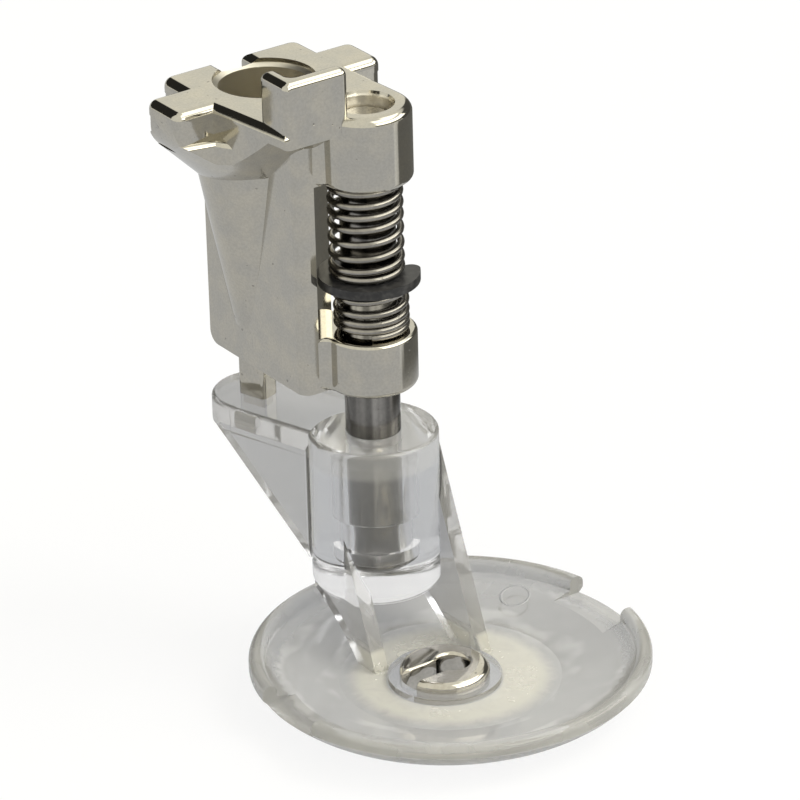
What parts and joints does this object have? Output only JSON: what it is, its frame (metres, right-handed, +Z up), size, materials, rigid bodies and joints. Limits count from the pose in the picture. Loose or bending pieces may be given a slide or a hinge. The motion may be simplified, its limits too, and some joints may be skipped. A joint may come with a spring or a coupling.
{
  "type": "sewing machine presser foot",
  "caption": "Spring-loaded free-motion presser foot: plated head with a round socket, sprung plunger rod and a clear round bowl sole with a metal needle insert.",
  "frame": {"origin": "axis of the round socket, level with the top face of the plate", "axes": "+Z up along the socket axis towards the presser bar, -Y towards the operator, where the plunger rod and the bowl stand, +X to the operator's right"},
  "size_m": [0.0294, 0.0388, 0.048],
  "materials": {
    "nickel_plate": "bright nickel plating on a casting",
    "turned_steel": "fine turned",
    "black_oxide": "blackened spring steel",
    "spring_steel": "bright drawn wire",
    "clear_plastic": "clear, glossy",
    "nickel_insert": "bright nickel plating"
  },
  "bodies": {
    "head": {"clamp_body": "nickel_plate", "upper_spring": "spring_steel", "lower_spring": "spring_steel"},
    "sole": {"bowl_sole": "clear_plastic", "plunger_rod": "turned_steel", "retaining_clip": "black_oxide", "guide_pin": "nickel_plate", "needle_insert": "nickel_insert"}
  },
  "joints": [
    {"name": "sole_slide", "type": "slide", "parent": "head", "child": "sole", "axis": [0, 0, 1], "range_m": [-0.0012, 0.003], "stiffness_N_per_m": 300, "deforming": ["upper_spring", "lower_spring"]}
  ]
}
